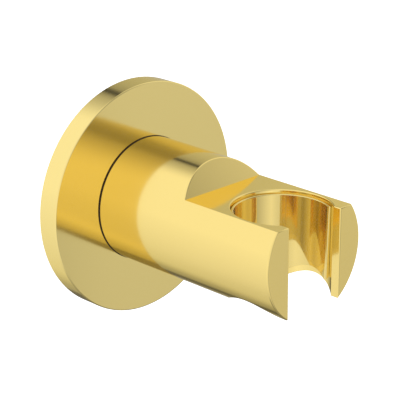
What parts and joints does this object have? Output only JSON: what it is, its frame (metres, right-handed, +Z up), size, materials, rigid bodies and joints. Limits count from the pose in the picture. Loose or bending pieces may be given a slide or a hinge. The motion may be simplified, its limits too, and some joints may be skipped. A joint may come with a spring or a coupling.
{
  "type": "hand shower holder",
  "caption": "Wall holder for a hand shower: a round rosette carries a swivelling cylindrical arm whose tip is cut to a flat, slotted cradle with a tapered liner.",
  "frame": {"origin": "centre of the rosette's back, on the wall plane", "axes": "+Y into the wall along the arm's axis, the arm points along -Y, +Z up, +X to the right seen from the room"},
  "size_m": [0.06, 0.0624, 0.06],
  "materials": {
    "gold": "polished gold coating on brass",
    "liner_gold": "polished gold coating",
    "black_plastic": "black acetal",
    "spring_steel": "oiled spring steel",
    "steel": "stainless steel",
    "plate_zinc": "zinc-plated steel"
  },
  "bodies": {
    "base": {"rosette": "gold", "wall_plate": "plate_zinc", "rosette_grub_screw": "steel", "swivel_washer": "black_plastic", "pivot_bush": "black_plastic"},
    "arm": {"holder_arm": "gold", "cradle_liner": "liner_gold", "disc_spring": "spring_steel", "clamp_washer": "steel", "pivot_screw": "steel"}
  },
  "joints": [
    {"name": "arm_swivel", "type": "hinge", "parent": "base", "child": "arm", "pos_m": [0, 0, 0], "axis": [0, -1, 0], "continuous": true}
  ]
}
